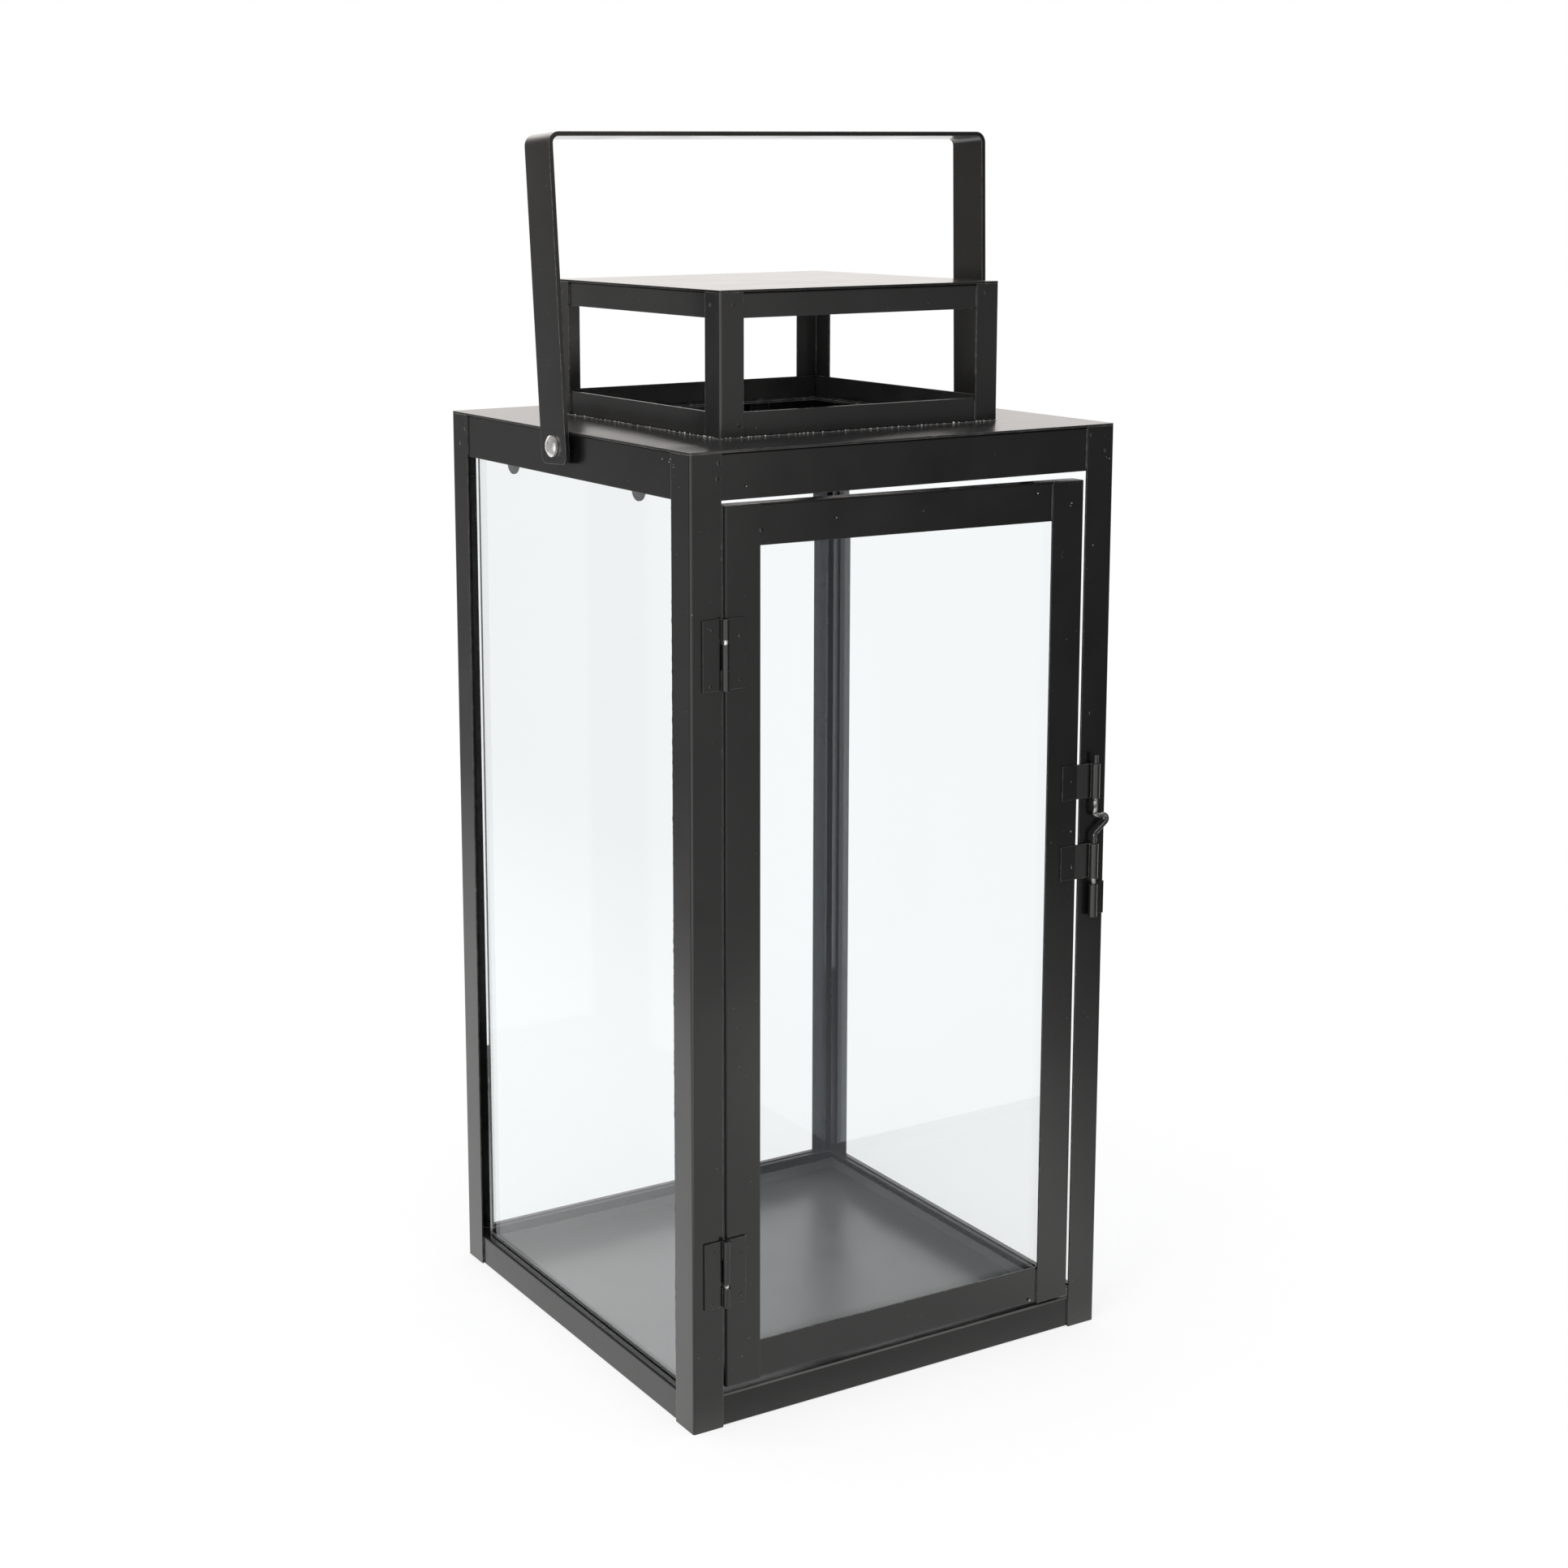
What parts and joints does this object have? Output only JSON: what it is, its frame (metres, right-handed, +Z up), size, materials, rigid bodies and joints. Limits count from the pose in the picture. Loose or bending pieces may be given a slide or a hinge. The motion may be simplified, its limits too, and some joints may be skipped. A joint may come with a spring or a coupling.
{
  "type": "candle lantern",
  "caption": "Square folded-metal floor lantern with glass panes, a hinged glass door with a slide bolt, a vented cupola and a turning strap handle.",
  "frame": {"origin": "centre of the footprint at floor level", "axes": "+Z up, -Y towards the door, +X to the right seen from the door's side"},
  "size_m": [0.2344, 0.2249, 0.5539],
  "materials": {
    "black_metal": "satin black paint on folded steel sheet",
    "glass": "clear float glass with slightly green edges",
    "zinc": "bare zinc-plated steel wire and screws"
  },
  "bodies": {
    "lantern": {"post_front_left": "black_metal", "post_front_right": "black_metal", "post_back_right": "black_metal", "post_back_left": "black_metal", "top_rail_front": "black_metal", "top_rail_right": "black_metal", "top_rail_back": "black_metal", "top_rail_left": "black_metal", "bottom_rail_front": "black_metal", "bottom_rail_right": "black_metal", "bottom_rail_back": "black_metal", "bottom_rail_left": "black_metal", "base_tray": "black_metal", "roof_plate": "black_metal", "glass_right": "glass", "glass_back": "glass", "glass_left": "glass", "cupola_post_front_left": "black_metal", "cupola_post_front_right": "black_metal", "cupola_post_back_right": "black_metal", "cupola_post_back_left": "black_metal", "cupola_top_rail_front": "black_metal", "cupola_top_rail_right": "black_metal", "cupola_top_rail_back": "black_metal", "cupola_top_rail_left": "black_metal", "cupola_bottom_rail_front": "black_metal", "cupola_bottom_rail_right": "black_metal", "cupola_bottom_rail_back": "black_metal", "cupola_bottom_rail_left": "black_metal", "cupola_lid": "black_metal", "hinge_leaf_upper_post": "black_metal", "hinge_leaf_lower_post": "black_metal", "hinge_pin_upper": "zinc", "hinge_pin_lower": "zinc", "bolt_keeper": "black_metal", "handle_screws": "zinc", "handle_spacers": "black_metal", "handle_nuts": "zinc"},
    "door": {"door_stile_hinge": "black_metal", "door_stile_latch": "black_metal", "door_rail_top": "black_metal", "door_rail_bottom": "black_metal", "door_glass": "glass", "hinge_leaf_upper_door": "black_metal", "hinge_leaf_lower_door": "black_metal", "bolt_guide_upper": "black_metal", "bolt_guide_lower": "black_metal"},
    "bolt": {"slide_bolt": "zinc"},
    "handle": {"handle_strap": "black_metal"}
  },
  "joints": [
    {"name": "door_hinge", "type": "hinge", "parent": "lantern", "child": "door", "pos_m": [-0.0943, -0.11185, 0.2], "axis": [0, 0, -1], "range_deg": [0, 180]},
    {"name": "bolt_slide", "type": "slide", "parent": "door", "child": "bolt", "axis": [0, 0, 1], "range_m": [-0.0032, 0.006]},
    {"name": "handle_pivot", "type": "hinge", "parent": "lantern", "child": "handle", "pos_m": [0, 0, 0.4182], "axis": [1, 0, 0], "range_deg": [-115.5, 92]}
  ]
}
